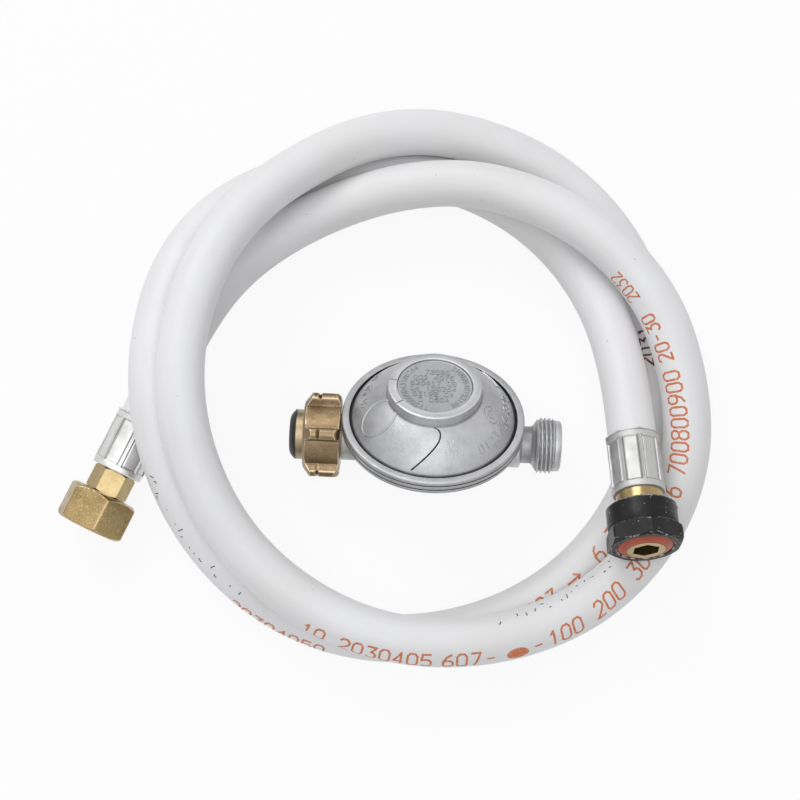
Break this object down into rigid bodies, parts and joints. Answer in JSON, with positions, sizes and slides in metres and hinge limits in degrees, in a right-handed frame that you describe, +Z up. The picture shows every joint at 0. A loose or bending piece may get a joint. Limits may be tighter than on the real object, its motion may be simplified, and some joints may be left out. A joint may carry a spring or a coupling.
{
  "type": "propane regulator hose",
  "caption": "Low-pressure gas regulator resting inside a loosely coiled white rubber hose with crimped ferrules and threaded swivel nuts on both ends.",
  "frame": {"origin": "on the floor under the middle of the regulator's own box", "axes": "+X along the regulator's pipe axis towards the outlet, turned 2.75 degrees, +Z up from the floor"},
  "size_m": [0.2335, 0.2067, 0.0602],
  "materials": {
    "hose_rubber": "smooth matt white rubber with printed lines of small marks",
    "ferrule_steel": "bright plated steel, crimped in flats",
    "brass": "turned brass, slightly dull on the hexagons",
    "union_brass": "cast and turned brass, brownish",
    "black_oxide": "black finish, worn bright at the corners",
    "zamak": "bare zinc casting, satin, faintly grained",
    "cap_zinc": "stamped zinc cap, finely grained",
    "red_seal": "red fibre and rubber seal, matt",
    "black_rubber": "black rubber",
    "steel": "plain steel",
    "filter_bronze": "sintered bronze",
    "bare_rubber": "hose end under the ferrule"
  },
  "bodies": {
    "hose_assembly": {"hose": "hose_rubber", "brass_end_hose_tail": "bare_rubber", "brass_end_ferrule": "ferrule_steel", "brass_end_insert": "brass", "brass_end_gasket": "black_rubber", "black_end_hose_tail": "bare_rubber", "black_end_ferrule": "ferrule_steel", "black_end_insert": "brass", "black_end_seal": "red_seal"},
    "brass_swivel_nut": {"brass_nut": "brass"},
    "black_swivel_nut": {"black_nut": "black_oxide"},
    "regulator": {"lower_housing": "zamak", "upper_cover": "zamak", "top_cap": "cap_zinc", "setting_disc": "brass", "main_spring": "steel", "diaphragm": "black_rubber", "inlet_nozzle": "brass", "lever_pin": "steel", "inlet_stem": "union_brass", "inlet_filter": "filter_bronze", "nose_seal": "black_rubber"},
    "lugged_union_nut": {"union_nut": "union_brass"},
    "diaphragm_set": {"spring_plate": "steel", "diaphragm_plate": "steel", "diaphragm_stem": "brass"},
    "valve_lever": {"lever": "brass"},
    "valve": {"valve_plunger": "brass", "valve_pad": "black_rubber"}
  },
  "joints": [
    {"name": "brass_nut_turn", "type": "hinge", "parent": "hose_assembly", "child": "brass_swivel_nut", "pos_m": [-0.11749, -0.02997, 0.01524], "axis": [-0.4441, -0.8881, -0.1184], "continuous": true},
    {"name": "black_nut_turn", "type": "hinge", "parent": "hose_assembly", "child": "black_swivel_nut", "pos_m": [0.07408, -0.03979, 0.04282], "axis": [0.0522, -0.9688, 0.2422], "continuous": true},
    {"name": "regulator_lift", "type": "slide", "parent": "hose_assembly", "child": "regulator", "axis": [0, 0, 1], "range_m": [0, 0.1]},
    {"name": "union_nut_turn", "type": "hinge", "parent": "regulator", "child": "lugged_union_nut", "pos_m": [-0.03331, -0.00341, 0.01687], "axis": [0.9988, -0.048, 0], "continuous": true},
    {"name": "diaphragm_stroke", "type": "slide", "parent": "regulator", "child": "diaphragm_set", "axis": [0.0256, 0.5337, 0.8453], "range_m": [0, 0.0018], "stiffness_N_per_m": 2000, "springref_m": -0.004, "deforming": ["main_spring", "diaphragm"]},
    {"name": "lever_swing", "type": "hinge", "parent": "regulator", "child": "valve_lever", "pos_m": [-0.00855, -0.00684, 0.01332], "axis": [-0.0406, -0.8443, 0.5344], "range_deg": [0, 9.4]},
    {"name": "valve_slide", "type": "slide", "parent": "regulator", "child": "valve", "axis": [-0.9988, 0.048, 0], "range_m": [0, 0.0007]}
  ],
  "couplings": [
    {"joint": "lever_swing", "follows": "diaphragm_stroke", "rad_per_m": 90.11},
    {"joint": "valve_slide", "follows": "diaphragm_stroke", "ratio": 0.38182}
  ]
}
